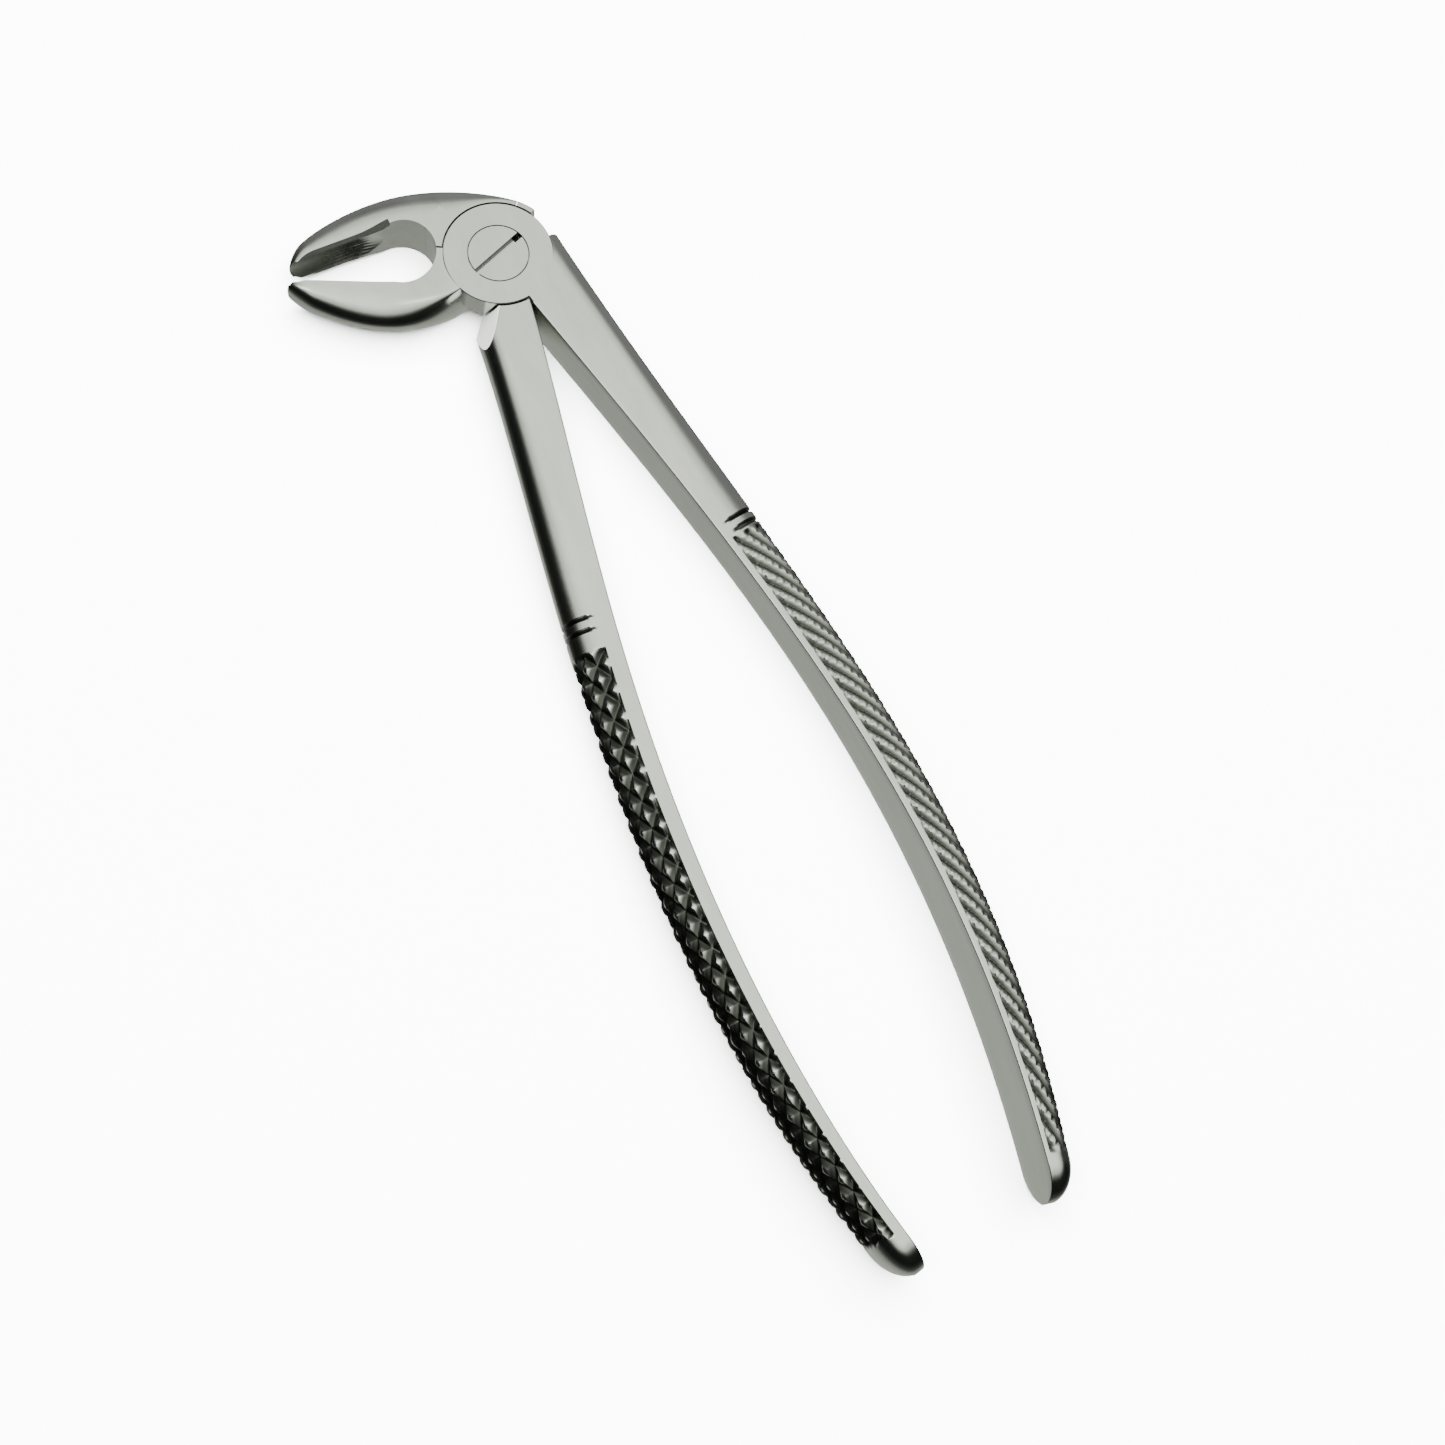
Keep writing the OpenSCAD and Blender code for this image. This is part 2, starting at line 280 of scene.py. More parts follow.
gripSizes = {
    "frontRings": (51.8, 53.5),   # distance of the two ring cuts from the pivot
    "rearRings": (57.2, 59.0),
    "ringWidth": 0.8,
    "ringDepth": 0.5,
    "knurlEnd": 151.5,
    # diagonal cuts: hand, pitch along the handle, pitch round it, depth
    "frontCuts": ((-1, 3.75, 2.3, 0.6), (1, 1.5, 1.9, 0.16)),
    "rearCuts": ((1, 4.1, 3.5, 0.8), (-1, 4.1, 3.5, 0.8)),
    "knurlLand": 0.24,            # share of a pitch left as flat top
    "knurlSideFade": 0.05,        # share of the width over which the cuts reach full depth
    "ringSideFade": 0.3,
    "knurlEndFades": (0.7, 1.2),  # the same at the first and the last cut, as distances
    "ringShade": 3.0,             # how soon the painted shade in a ring cut turns full dark
    "step": 0.2,                  # distance between stations along the grip
}


def handleStations(edge, firstCut):
    # parameters of the stations: wide apart at the root, close together along the grip
    dense = np.linspace(0, 1, 4001)
    y = -bezier(edge, dense)[:, 1]
    root = np.linspace(y[0], firstCut - 2, handleSizes["rootStations"])[:-1]
    grip = np.arange(firstCut - 2, gripSizes["knurlEnd"] + 0.6, gripSizes["step"])
    quarter = np.linspace(0, math.pi / 2, handleSizes["endStations"])[1:]
    roundEnd = y[-1] - (y[-1] - grip[-1]) * np.cos(quarter)
    return np.interp(np.concatenate([root, grip, roundEnd]), y, dense)


def grooveDepth(distance, cuts, share):
    # V-shaped ring cuts, depth times 1 - |x| across each width, both narrowing with the share
    x = (distance[:, :, None] - np.array(cuts)) / (gripSizes["ringWidth"] / 2)
    return (gripSizes["ringDepth"] * np.clip(share[:, :, None] - np.abs(x), 0, 1)).max(2)


def knurlDepth(along, around, families):
    # V cuts on the diagonals: the deepest of |2 frac - 1| over the families, less the flat tops
    land = gripSizes["knurlLand"]
    deepest = 0
    for hand, pitchAlong, pitchAround, depth in families:
        phase = along / pitchAlong + hand * around / pitchAround
        wave = np.abs(2 * (phase - np.floor(phase)) - 1)
        deepest = np.maximum(deepest, depth * np.clip((wave - land) / (1 - land), 0, 1))
    return deepest


def handle(name, side, kind, cuts):
    # inner edge on a Bezier curve, a section whose width follows a second Bezier and whose depth
    # grows by ease(), then every point sunk along its normal by the depth of the cuts there
    s, own = handleSizes, handleSizes[kind]
    a = np.array([own["rootX"], s["rootY"]]) - s["start"] * leaning(own["lean"])
    d = np.array([own["tipX"], -s["reach"]])
    edge = [a, a + own["run"] * leaning(own["lean"]), d - s["tipRun"] * leaning(-side * s["tipLean"]), d]
    t = handleStations(edge, cuts[0])
    p = bezier(edge, t)
    heading = bezierSlope(edge, t)
    heading = heading / np.linalg.norm(heading, axis=1)[:, None]
    out = side * np.column_stack([-heading[:, 1], heading[:, 0]])
    down = -p[:, 1]
    close = rounding((down - s["reach"] + s["tipRound"]) / s["tipRound"])
    w = own["widths"]
    width = bezier([[w[0]], [w[1]], [w[2]], [w[3]]], t)[:, 0] * (s["tipShare"] + (1 - s["tipShare"]) * close)
    depth = joint["thickness"] + s["flare"] * ease((down - s["flareStart"]) / s["flareRun"])
    low, high = depth * (1 - close) / 2, depth * (1 + close) / 2
    narrowing = ease((down - s["flatFrom"]) / s["flatRun"])
    flat = s["rootFlat"] + (s["gripFlat"] - s["rootFlat"]) * narrowing
    corner = np.minimum(s["corner"], 0.1 * width)[:, None]
    shape = sectionShape(*s["steps"])
    rings, u, z, along, span = sectionRings(p, p + out * width[:, None], low, high, flat,
                                            s["squareness"], shape, corner)
    # distance round the back from its middle, and outward direction in the section's plane
    du, dz = np.gradient(u, axis=1), np.gradient(z, axis=1)
    length = np.sqrt(du ** 2 + dz ** 2) + 1e-9
    around = np.cumsum(length, 1)
    backMid = (span.start + span.stop) // 2
    around = around - around[:, backMid:backMid + 1]
    nu, nz = -dz / length, du / length
    travel = np.concatenate([[0], np.cumsum(np.linalg.norm(np.diff(p, axis=0), axis=1))])
    travel = travel[:, None] + 0 * u
    distance = down[:, None] + 0 * u
    share = u / width[:, None]
    onBack = ease((share - own["knurlFrom"]) / gripSizes["knurlSideFade"])
    ringShare = ease((share - own["knurlFrom"]) / gripSizes["ringSideFade"])
    first, last = cuts[1] + own["knurlLead"], gripSizes["knurlEnd"]
    startFade, endFade = gripSizes["knurlEndFades"]
    inGrip = ease((distance - first) / startFade) * ease((last - distance) / endFade)
    ringSink = grooveDepth(distance, cuts, ringShare)
    families = gripSizes[kind + "Cuts"]
    knurl = knurlDepth(travel, around, families) * onBack * inGrip
    sink = np.maximum(ringSink, knurl)
    # painted shade in the ring and knurl cuts, full dark towards their bottoms
    cutShare = np.clip(np.maximum(ringSink / gripSizes["ringDepth"] * gripSizes["ringShade"],
                                  knurl / families[0][3] * own["knurlShade"]), 0, 1)
    rings[:, :, :2] -= (sink * nu)[:, :, None] * along
    rings[:, :, 2] -= sink * nz
    return skin(name, rings, cutShare)


throatSizes = {"radius": 4.85, "web": 0.9, "angle": 155.0, "heelInset": 0.12, "rearWeb": 11.5}
beakSizes = {
    "reach": 28.6,
    "tipGap": 2.3,
    "frontLead": 1.6,
    "rearWidth": 4.9,
    "frontWidth": 5.7,
    "tipWidth": 1.5,
    "tipDepth": 6.4,
    "hollow": 0.45,
    "hollowLead": 1.3,
    "hollowMargin": 0.3,      # flat rim beside the hollow at the tip
    "hollowClear": 0.05,      # how far the cylinder stays off the face at its start
    "rootFlat": 0.92,
    "rearFlat": 0.3,
    "frontFlat": 0.45,
    "squareness": 2.3,
    "steps": (8, 6, 48),      # steps across the face, each flat and the back
    "shoulderAngle": 30.0,
    "shoulderWidth": 1.3,
    "stations": 120,
    "hollowRun": 5.0,         # distance over which the hollow of the gripping face deepens
    "ribPitch": 0.75,         # fine lines along the gripping faces
    "ribDepth": 0.24,
    "faceShade": 0.4,         # painted shade over the face between the lines
    "ribStart": 2.0,          # smooth metal between the throat and the lines
    "bevel": 0.5,             # bevel along the rear beak's inner front edge
    "bevelHeel": 0.8,         # its size at the throat
    "bevelOver": 0.12,
    "rearTaper": (0.48, 0.3), # where each beak starts to get thinner, and over what share of it
    "frontTaper": (0.1, 0.5),
    "tipRound": 0.1,          # share of the beak in its rounded end
    "tipWidthShare": 0.3,     # shares of width and thickness kept at the very tip
    "tipDepthShare": 0.35,
    "corner": 0.15,
    "crowding": 1.35,         # how much closer the stations lie towards the tip
}
throatDistance = joint["frontDisc"] + throatSizes["web"] + throatSizes["radius"]
throat = polar(throatDistance, throatSizes["angle"])
rearTip = np.array([-beakSizes["reach"], throat[1] + throatSizes["radius"]])
frontTip = rearTip - np.array([beakSizes["frontLead"], beakSizes["tipGap"]])
towards = frontTip - throat
tangent = math.degrees(math.atan2(towards[1], towards[0]) % (2 * math.pi)
                       + math.acos(throatSizes["radius"] / np.linalg.norm(towards)))
heelRadius = throatSizes["radius"] - throatSizes["heelInset"]
frontHeel = throat + polar(heelRadius, tangent)
rearHeel = throat + np.array([0, heelRadius])
frontAlong = unit(frontTip - frontHeel)
frontOut = np.array([-frontAlong[1], frontAlong[0]])


def beakTop(t, taper):
    # height of the front face, falling from the joint's thickness to the tip's
    start, run = taper
    return joint["thickness"] - (joint["thickness"] - beakSizes["tipDepth"]) / 2 * ease((t - start) / run)


def beak(name, inner, outer, taper, endFlat, flatRun):
    # inner and outer edges on two Bezier curves, the section between them, closing at the tip
    b = beakSizes
    t = 1 - (1 - np.linspace(0, 1, b["stations"])) ** b["crowding"]
    close = rounding((t - 1 + b["tipRound"]) / b["tipRound"])
    p, q = bezier(inner, t), bezier(outer, t)
    q = p + (q - p) * (b["tipWidthShare"] + (1 - b["tipWidthShare"]) * close)[:, None]
    half = (beakTop(t, taper) - mid) * (b["tipDepthShare"] + (1 - b["tipDepthShare"]) * close)
    flat = b["rootFlat"] + (endFlat - b["rootFlat"]) * ease(t / flatRun)
    rings = sectionRings(p, q, mid - half, mid + half, flat, b["squareness"],
                         sectionShape(*b["steps"]), np.full((len(t), 1), b["corner"]))[0]
    return skin(name, rings)


def rearBeak():
    # outer edge from the shoulder round the disc to the tip, straight inner edge
    b = beakSizes
    outer = [polar(joint["frontDisc"] + b["shoulderWidth"], b["shoulderAngle"]),
             [throat[0] + 14.2, rearTip[1] + 5.8], [throat[0] - 6.2, rearTip[1] + b["rearWidth"] + 3.6],
             rearTip + np.array([-0.2, b["tipWidth"]])]
    inner = [polar(4, b["shoulderAngle"]), [-3, 7], [throat[0], rearTip[1]], rearTip - np.array([0, 0.6])]
    return beak("rearBeakBlank", inner, outer, b["rearTaper"], b["rearFlat"], 0.4), inner


def frontBeak():
    # outer edge bellied below the joint; the throat's cutters make the inner edge
    b = beakSizes
    outer = [[-5, -2.8], [-12.4, -b["frontWidth"]], [-20.2, -b["frontWidth"] - 0.3],
             frontTip + b["tipWidth"] * frontOut]
    inner = [[-3, 4], [-9, 8], [-20, 8.6], frontTip - 0.5 * frontOut]
    return beak("frontBeakBlank", inner, outer, b["frontTaper"], b["frontFlat"], 0.95)


over = 5.0                    # how far a cutting tool stands out past the metal


def throatCutters():
    # the round of the throat, and the open wedge from it to the tips
    a = np.arange(roundSteps["throat"]) * 2 * math.pi / roundSteps["throat"]
    circle = throat + throatSizes["radius"] * np.column_stack([np.cos(a), np.sin(a)])
    gap = [throat, rearHeel, rearTip - np.array([over, 0]), frontTip + over * frontAlong, frontHeel]
    return (prism("throatRound", circle, -over, joint["thickness"] + over),
            prism("throatOpen", gap, -over, joint["thickness"] + over))


def hollowCutter(name, heel, along, inward):
    # long cylinder lying in the gripping face: its radius grows by ease() over hollowRun, and a
    # triangle wave of the angle ripples it, so that fine lines run along the face from ribStart on
    b = beakSizes
    halfSpan = b["tipDepth"] / 2 - b["hollowMargin"]
    radius = (halfSpan ** 2 + b["hollow"] ** 2) / (2 * b["hollow"])
    centre = heel - inward * (radius - b["hollow"]) - b["hollowLead"] * along
    steps = roundSteps["hollow"]
    a = np.arange(steps) * 2 * math.pi / steps
    x = np.append(np.linspace(0, b["hollowLead"] + b["hollowRun"] + b["ribStart"], 22), b["reach"] + over)
    beyond = x - b["hollowLead"]
    fade = ease((beyond - b["ribStart"]) / b["hollowRun"])
    wave = a * radius / b["ribPitch"]
    ripple = np.abs(2 * (wave - np.floor(wave)) - 1)
    lines = fade[:, None] * (ripple * (np.cos(a) > 0.9))[None, :]     # only where it meets the face
    shallow = (b["hollow"] + b["hollowClear"]) * (1 - ease(beyond / b["hollowRun"]))
    r = radius - shallow[:, None] + b["ribDepth"] * lines
    plan = centre + along * x[:, None]
    rings = np.empty((len(x), steps, 3))
    rings[:, :, :2] = plan[:, None, :] + inward * (r * np.cos(a))[:, :, None]
    rings[:, :, 2] = mid + r * np.sin(a)
    # painted shade on the gripping face: faceShade of it over the hollow, full in the lines
    return skin(name, rings, b["faceShade"] * fade[:, None] + (1 - b["faceShade"]) * lines)


def sector(name, start, stop, reach):
    # a wedge seen from the pivot
    outline = [np.zeros(2), polar(reach, start), polar(reach * 1.2, (start + stop) / 2), polar(reach, stop)]
    return prism(name, outline, -over, joint["thickness"] + over)


def bevelCutter(inner):
    # square bar on its corner along the rear beak's inner front edge, cutting a bevel
    b = beakSizes
    dense = np.linspace(0, 1, 400)
    reach = -bezier(inner, dense)[:, 0]
    t = np.linspace(np.interp(-throat[0], reach, dense), 1, 60)
    x = np.append(bezier(inner, t)[:, 0], rearTip[0] - 3)
    z = beakTop(np.append(t, 1), b["rearTaper"])
    size = b["bevel"] + b["bevelOver"] + (b["bevelHeel"] - b["bevel"]) * ease(1 - np.linspace(0, 3, len(x)))
    corner = np.array([[1, 0], [0, 1], [-1, 0], [0, -1]])
    rings = np.empty((len(x), 4, 3))
    rings[:, :, 0] = x[:, None]
    rings[:, :, 1] = rearHeel[1] + size[:, None] * corner[:, 0]
    rings[:, :, 2] = z[:, None] + size[:, None] * corner[:, 1]
    return skin("bevelBar", rings)


facetSizes = {"x": -3.7, "y": -joint["frontDisc"], "turn": -123.5, "slope": -25.0, "far": 40.0}


def facetFrame():
    # the ground facet is the y = 0 plane of this frame
    return (Matrix.Translation((facetSizes["x"], facetSizes["y"], joint["thickness"]))
            @ Matrix.Rotation(math.radians(facetSizes["turn"]), 4, "Z")
            @ Matrix.Rotation(math.radians(facetSizes["slope"]), 4, "X"))


def facetCutter():
    # the slope ground on the rear handle's outer front corner
    low = np.array([-over, -facetSizes["far"], -facetSizes["far"]])
    corners = np.array([[x, y, z] for z in (0, 1) for x, y in ((0, 0), (1, 0), (1, 1), (0, 1))], float)
    points = low + corners * np.array([facetSizes["far"], facetSizes["far"], facetSizes["far"] + over])
    turned = np.array(facetFrame())
    points = points @ turned[:3, :3].T + turned[:3, 3]
    return skin("facetBlock", points.reshape(2, 4, 3))


def buildFrontHalf():
    # beak and handle blanks joined, then the throat, recess and bores cut as in the CAD node
    j = joint
    fromBeak = cut(frontBeak(),
                   sector("seamWedge", 90, j["seamAngle"] + j["seamGap"] / 2, throatDistance - 1),
                   sector("stopWedge", j["frontStop"], j["frontStop"] + 60, 60))
    fromHandle = cut(handle("frontHandleBlank", 1, "front", gripSizes["frontRings"]),
                     sector("crotchWedge", j["crotchAngle"] - 60, j["crotchAngle"] + j["crotchGap"] / 2,
                            -handleSizes["rootY"]))
    piece = join(fromHandle, fromBeak)
    cut(piece, *throatCutters(), hollowCutter("frontHollow", frontHeel, frontAlong, frontOut))
    cut(piece, disc("rearRecess", j["rearDisc"] + j["recessGap"], -over, mid + j["laminaGap"] / 2))
    join(piece, disc("frontLamina", j["frontDisc"], mid + j["laminaGap"] / 2, j["thickness"],
                     j["edgeBreak"]))
    cut(piece, disc("shankBore", screwSizes["shank"] + screwSizes["clearance"], -over,
                    j["thickness"] + over),
        disc("headBore", screwSizes["head"] + screwSizes["headGap"],
             j["thickness"] - screwSizes["headHeight"] - screwSizes["float"], j["thickness"] + over))
    piece.name = "front_half_forging"
    return piece


def buildRearHalf():
    # the same for the rear half, with the metal between disc and throat filled in
    j = joint
    blank, inner = rearBeak()
    fromBeak = cut(blank, sector("seamWedge", j["seamAngle"] - j["seamGap"] / 2, j["seamAngle"] + 50,
                                 throatDistance - 1))
    fromHandle = cut(handle("rearHandleBlank", -1, "rear", gripSizes["rearRings"]),
                     sector("stopWedge", j["rearStop"] - 60, j["rearStop"], 60),
                     disc("handleTop", j["frontDisc"] + j["handleTopGap"], mid - j["laminaGap"] / 2,
                          j["thickness"] + over),
                     facetCutter(),
                     sector("crotchWedge", j["crotchAngle"] - j["crotchGap"] / 2, j["crotchAngle"] + 60,
                            -handleSizes["rootY"]))
    seam = j["seamAngle"] - j["seamGap"] / 2
    web = [np.zeros(2)] + [polar(throatSizes["rearWeb"], seam - back) for back in (35, 10, 0)]
    piece = join(fromHandle, fromBeak, prism("rearWeb", web, 0, j["thickness"]))
    cut(piece, *throatCutters(),
        hollowCutter("rearHollow", rearHeel, np.array([-1.0, 0]), np.array([0, 1.0])), bevelCutter(inner))
    cut(piece, disc("frontRecess", j["frontDisc"] + j["recessGap"], mid - j["laminaGap"] / 2,
                    j["thickness"] + over))
    join(piece, disc("rearLamina", j["rearDisc"], 0, mid - j["laminaGap"] / 2, 0, j["edgeBreak"]))
    cut(piece, disc("shankSeat", screwSizes["shank"] + 0.005, -over, j["thickness"] + over))
    piece.name = "rear_half_forging"
    return piece


screwSizes = {
    "head": 4.5,
    "headHeight": 1.6,
    "headGap": 0.12,
    "float": 0.05,
    "shank": 2.4,
    "clearance": 0.04,
    "slotWidth": 1.0,
    "slotDepth": 0.9,
    "slotAngle": 20.5,
    "pocket": 1.1,            # length of the deeper pocket at one end of the slot
    "pocketDepth": 1.45,
    "edge": 0.07,
    "unshadedRim": 0.12,          # bright metal, without painted shade, down to this depth and this close to the slot's floor
    "unshadedFloor": 0.04,
}


def slotBlock(name, start, stop, depth):
    # a straight block along the slot's direction, from start to stop, cutting to depth
    along = polar(1, screwSizes["slotAngle"])
    side = np.array([-along[1], along[0]]) * screwSizes["slotWidth"] / 2
    outline = [along * start - side, along * stop - side, along * stop + side, along * start + side]
    return prism(name, outline, joint["thickness"] - depth, joint["thickness"] + over)


def buildPivotScrew():
    # turned blank with a straight slot and a deeper pocket at one end of it
    s, top = screwSizes, joint["thickness"]
    under = top - s["headHeight"]
    profile = [(s["shank"] - s["edge"], 0), (s["shank"], s["edge"]), (s["shank"], under),
               (s["head"], under), (s["head"], top - s["edge"]), (s["head"] - s["edge"], top)]
    piece = lathe("pivotScrewBlank", profile)
    cut(piece, slotBlock("slot", -s["head"] - over, s["head"] + over, s["slotDepth"]),
        slotBlock("pocket", s["head"] - s["pocket"], s["head"] + over, s["pocketDepth"]))
    piece.name = "pivot_screw_turned"
    return piece


frontHalf = buildFrontHalf()
print("front half built:", len(frontHalf.data.polygons), "faces")
rearHalf = buildRearHalf()
print("rear half built:", len(rearHalf.data.polygons), "faces")
pivotScrew = buildPivotScrew()
print("pivot screw built:", len(pivotScrew.data.polygons), "faces")
for built in (frontHalf, rearHalf, pivotScrew):
    finishEdges(built)
    built.data.name = built.name


class Value:
    # a socket with arithmetic: each operator adds one Math node
    def __init__(self, tree, socket):
        self.tree, self.socket = tree, socket

    def math(self, operation, other=None, clamp=False):
        node = self.tree.nodes.new("ShaderNodeMath")
        node.operation, node.use_clamp = operation, clamp
        for slot, item in zip(node.inputs, (self, other)):
            if isinstance(item, Value):
                self.tree.links.new(item.socket, slot)
            elif item is not None:
                slot.default_value = item
        return Value(self.tree, node.outputs[0])

    def __add__(self, other):
        return self.math("ADD", other)

    __radd__ = __add__

    def __mul__(self, other):
        return self.math("MULTIPLY", other)

    __rmul__ = __mul__

    def __sub__(self, other):
        return self.math("SUBTRACT", other)

    def __rsub__(self, other):
        return (self * -1) + other


class Finish:
    # one material and the tools to wire it
    def __init__(self, name):
        self.material = bpy.data.materials.new(name)
        self.material.use_nodes = True
        self.tree = self.material.node_tree
        self.shader = self.tree.nodes["Principled BSDF"]

    def add(self, kind, settings=None, output=0, **sockets):
        node = self.tree.nodes.new(kind)
        for key, value in (settings or {}).items():
            if key == "stops":
                while len(node.color_ramp.elements) < len(value):
                    node.color_ramp.elements.new(0.5)
                for element, (place, colour) in zip(node.color_ramp.elements, value):
                    element.position, element.color = place, colour
            else:
                setattr(node, key, value)
        for key, value in sockets.items():
            self.plug(node, key.replace("_", " "), value)
        return Value(self.tree, node.outputs[output])

    def plug(self, node, key, value):
        slot = node.inputs[key]
        if isinstance(value, Value):
            self.tree.links.new(value.socket, slot)
        else:
            slot.default_value = value

    def blend(self, mask, first, second):
        # colours mixed by a mask
        node = self.tree.nodes.new("ShaderNodeMix")
        node.data_type = "RGBA"
        for slot, item in zip((node.inputs[0], node.inputs[6], node.inputs[7]), (mask, first, second)):
            if isinstance(item, Value):
                self.tree.links.new(item.socket, slot)
            else:
                slot.default_value = item
        return Value(self.tree, node.outputs[2])

    def grain(self, stretch, scale, turn):
        # noise drawn out along one direction of the piece
        place = self.add("ShaderNodeTexCoord", output=3)
        mapped = self.add("ShaderNodeMapping", Vector=place, Scale=stretch, Rotation=turn)
        return self.add("ShaderNodeTexNoise", Vector=mapped, Scale=scale,
                        Detail=steelSizes["grainDetail"], Roughness=0.6)


steelSizes = {
    "light": (0.66, 0.675, 0.635, 1),
    "dark": (0.55, 0.57, 0.53, 1),
    # painted shade in the cuts and on the gripping faces: its dark colour
    "cutShadeColour": (0.05, 0.055, 0.045, 1),
    "roughness": 0.2,
    "roughnessSpread": 0.12,
    "roughnessMiddle": 0.1,   # what the grain and the clouds add on average
    "grainStretch": (1.0, 0.035, 1.0),
    "grainScale": 9000.0,
    "grainDetail": 3.0,
    "contrast": (0.3, 0.7),   # noise levels that give the dark and the light steel
    "grainHeight": 0.25,
    "grainDepth": 0.00003,
    "cloudStretch": (1, 0.25, 1),
    "cloudScale": 260.0,
    "cloudShare": 0.7,        # how much of the colour follows the clouds rather than the grain
    "cloudRoughness": 0.08,
    # how strongly the painted shade in the cuts is mixed in, and the roughness added there
    "cutShade": 0.92,
    "cutRoughness": 0.12,
    "facetReach": 0.04,
    "facetColour": (0.5, 0.51, 0.48, 1),
    "facetRoughness": 0.2,
    "facetPaleness": 0.5,
    # painted shade on the slot walls and in the pocket of the pivot screw
    "slotShadeColour": (0.02, 0.02, 0.018, 1),
    "slotShadeRoughness": 0.2,
}


def brushedSteel(name, turn, roughness=0.0, region=None, regionColour=None, regionRoughness=0.0,
                 regionPaleness=0.0):
    # brushed grain along the piece, faint clouds in the polish, painted shade in the cuts
    s = steelSizes
    finish = Finish(name)
    fine = finish.grain(s["grainStretch"], s["grainScale"], turn)
    broad = finish.grain(s["cloudStretch"], s["cloudScale"], turn)
    shades = list(zip(s["contrast"], (s["dark"], s["light"])))
    colour = finish.add("ShaderNodeValToRGB", {"stops": shades},
                        Fac=broad * s["cloudShare"] + fine * (1 - s["cloudShare"]))
    rough = (fine * s["roughnessSpread"] + broad * s["cloudRoughness"]
             + (s["roughness"] - s["roughnessMiddle"] + roughness))
    # painted shade: the colour turned towards the dark shade colour where the cuts and gripping faces lie
    inCut = finish.add("ShaderNodeAttribute", {"attribute_name": "cutShare"}, 2)
    colour = finish.blend(inCut * s["cutShade"], colour, s["cutShadeColour"])
    rough = rough + inCut * s["cutRoughness"]
    metal = 1.0
    if region:
        mask = region(finish)
        colour = finish.blend(mask, colour, regionColour)
        rough = rough + mask * regionRoughness
        metal = 1.0 - mask * regionPaleness
    finish.plug(finish.shader, "Base Color", colour)
    finish.plug(finish.shader, "Roughness", rough)
    bump = finish.add("ShaderNodeBump", Strength=s["grainHeight"], Distance=s["grainDepth"], Height=fine)
    finish.plug(finish.shader, "Normal", bump)
    finish.plug(finish.shader, "Metallic", metal)
    return finish.material


def grainTurn(degrees):
    # rotation that lays the grain along a piece
    return (0, 0, math.radians(degrees))


def groundFacet(finish):
    # 1 within facetReach of the plane of the ground facet, 0 elsewhere
    turned = np.array(facetFrame())
    normal, foot = -turned[:3, 1], turned[:3, 3] * mm
    place = finish.add("ShaderNodeTexCoord", output=3)
    height = finish.tree.nodes.new("ShaderNodeVectorMath")
    height.operation = "DOT_PRODUCT"
    finish.tree.links.new(place.socket, height.inputs[0])
    height.inputs[1].default_value = normal
    away = Value(finish.tree, height.outputs["Value"]) - float(np.dot(normal, foot))
    return away.math("ABSOLUTE").math("LESS_THAN", steelSizes["facetReach"] * mm)


def insideSlot(finish):
    # 1 on the walls of the slot and in the pocket, where shade is painted dark; 0 on the slot's floor, left
    # bright
    place = finish.add("ShaderNodeTexCoord", output=3)
    split = finish.add("ShaderNodeSeparateXYZ", None, 2, Vector=place)
    depth = (split - joint["thickness"] * mm) * (-1 / mm)
    fromFloor = (depth - screwSizes["slotDepth"]).math("ABSOLUTE")
    onFloor = fromFloor.math("LESS_THAN", screwSizes["unshadedFloor"])
    return depth.math("GREATER_THAN", screwSizes["unshadedRim"]) - onFloor


frontSteel = brushedSteel("front half brushed steel", grainTurn(-5))
rearSteel = brushedSteel("rear half brushed steel", grainTurn(5), 0.0, groundFacet,
                         steelSizes["facetColour"], steelSizes["facetRoughness"],
                         steelSizes["facetPaleness"])
# the pivot screw's slot walls and pocket carry painted shade
screwSteel = brushedSteel("pivot screw brushed steel", grainTurn(-40), 0.02, insideSlot,
                          steelSizes["slotShadeColour"], steelSizes["slotShadeRoughness"])

fitted = [
    (frontHalf, "front_half", "front_lever", "front_steel", frontSteel),
    (rearHalf, "rear_half", "rear_lever", "rear_steel", rearSteel),
    (pivotScrew, "pivot_screw", "rear_lever", "screw_steel", screwSteel),
]
for piece, node, body, slot, material in fitted:
    piece.data.materials.clear()
    piece.data.materials.append(material)
    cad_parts[node].data.materials.clear()
    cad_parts[node].data.materials.append(material)
    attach(piece, body)
    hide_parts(node)
print("pieces fitted to their bodies")


stageSizes = {
    "floor": 3.0,
    "floorColour": (0.93, 0.935, 0.93, 1),
    # brightness of the studio by height: from straight down, over the dim horizon, to the ceiling
    "sky": ((0.0, 0.62), (0.06, 0.45), (0.15, 0.06), (0.3, 0.012), (0.66, 0.015), (0.77, 0.22),
            (0.86, 1.0), (1.0, 1.9)),
    "skyTint": (0.965, 1.0, 0.915),
    "sideGlow": 0.32,         # soft light from one side of the room
    "sideDirection": (0.6, 0.8, 0.0),
    "aim": (0, -0.07, 0),
    # place, size, watts and whether the steel mirrors it
    "lamps": {"floor wash": ((0.1, 0.1, 1.1), (1.4, 1.4), 240, False),
              "left softbox": ((-0.6, 0.1, 0.95), (0.3, 0.7), 1.2, True)},
}
cameraSizes = {
    "lens": 54.81,
    "sensor": 36.0,
    "place": (-0.07363, -0.13641, 0.30551),
    "right": (0.88974, -0.43705, 0.13175),
    "up": (0.39253, 0.87986, 0.26790),
    "back": (-0.23300, -0.18665, 0.95440),
}


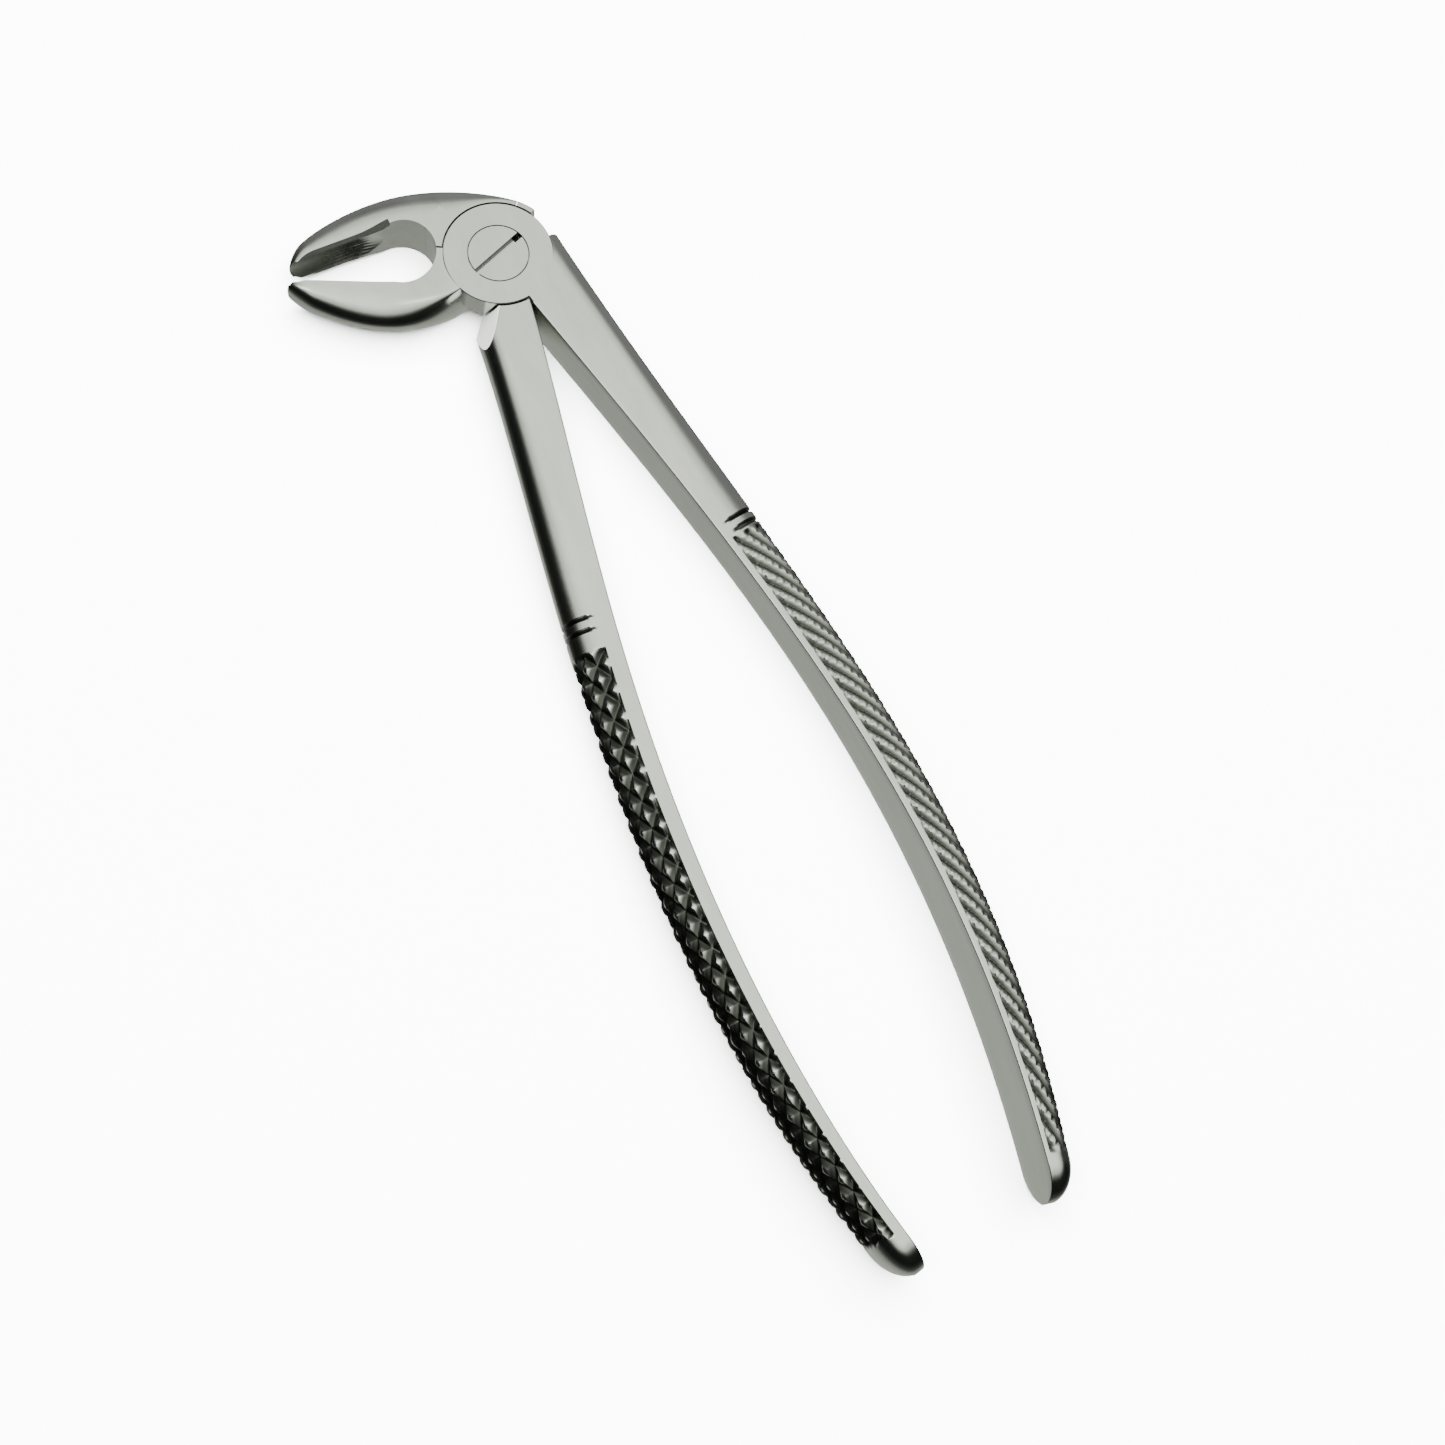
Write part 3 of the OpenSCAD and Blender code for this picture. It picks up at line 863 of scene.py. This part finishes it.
def buildFloor():
    h = stageSizes["floor"] / mm / 2
    low = cadLow.z / mm - 0.05
    piece = putMesh("floor", [[-h, -h, low], [h, -h, low], [h, h, low], [-h, h, low]], [[0, 1, 2, 3]])
    paint = Finish("pale floor")
    paint.plug(paint.shader, "Base Color", stageSizes["floorColour"])
    paint.plug(paint.shader, "Roughness", 0.8)
    piece.data.materials.append(paint.material)
    piece.visible_glossy = False      # the steel mirrors the dim surroundings, not the floor


def buildSky():
    world = bpy.data.worlds.new("studio")
    world.use_nodes = True
    bpy.context.scene.world = world
    tree = world.node_tree
    place = tree.nodes.new("ShaderNodeTexCoord")
    split = tree.nodes.new("ShaderNodeSeparateXYZ")
    height = tree.nodes.new("ShaderNodeMath")
    height.operation = "MULTIPLY_ADD"
    height.inputs[1].default_value, height.inputs[2].default_value = 0.5, 0.5
    ramp = tree.nodes.new("ShaderNodeValToRGB")
    ramp.color_ramp.interpolation = "EASE"
    stops = stageSizes["sky"]
    while len(ramp.color_ramp.elements) < len(stops):
        ramp.color_ramp.elements.new(0.5)
    for element, (position, level) in zip(ramp.color_ramp.elements, stops):
        element.position = position
        element.color = [level * c for c in stageSizes["skyTint"]] + [1]
    tree.links.new(place.outputs["Generated"], split.inputs[0])
    tree.links.new(split.outputs["Z"], height.inputs[0])
    tree.links.new(height.outputs[0], ramp.inputs[0])
    # the side glow adds sideGlow max(0, direction . sideDirection)^2
    facing = tree.nodes.new("ShaderNodeVectorMath")
    facing.operation = "DOT_PRODUCT"
    facing.inputs[1].default_value = stageSizes["sideDirection"]
    tree.links.new(place.outputs["Generated"], facing.inputs[0])
    towardsSide = Value(tree, facing.outputs["Value"]).math("MAXIMUM", 0.0)
    glow = towardsSide * towardsSide * stageSizes["sideGlow"]
    total = tree.nodes.new("ShaderNodeVectorMath")
    tree.links.new(ramp.outputs[0], total.inputs[0])
    tree.links.new(glow.socket, total.inputs[1])
    tree.links.new(total.outputs[0], tree.nodes["Background"].inputs[0])


def areaLight(name, place, size, watts, mirrored):
    data = bpy.data.lights.new(name, "AREA")
    data.shape, data.size, data.size_y, data.energy = "RECTANGLE", size[0], size[1], watts
    lamp = bpy.data.objects.new(name, data)
    lamp.visible_glossy = mirrored    # a lamp that isn't mirrored lights only the floor
    bpy.context.scene.collection.objects.link(lamp)
    lamp.location = place
    lamp.rotation_euler = (Vector(stageSizes["aim"]) - Vector(place)).to_track_quat("-Z", "Y").to_euler()


def buildCamera():
    c = cameraSizes
    data = bpy.data.cameras.new("camera")
    data.lens, data.sensor_width = c["lens"], c["sensor"]
    data.clip_start, data.clip_end = 0.01, 20
    camera = bpy.data.objects.new("camera", data)
    bpy.context.scene.collection.objects.link(camera)
    rows = list(zip(c["right"], c["up"], c["back"], c["place"]))
    camera.matrix_world = Matrix(rows + [(0, 0, 0, 1)])
    bpy.context.scene.camera = camera


buildFloor()
buildSky()
for lampName, settings in stageSizes["lamps"].items():
    areaLight(lampName, *settings)
print("view transform:", bpy.context.scene.view_settings.view_transform)
buildCamera()
print("stage set")
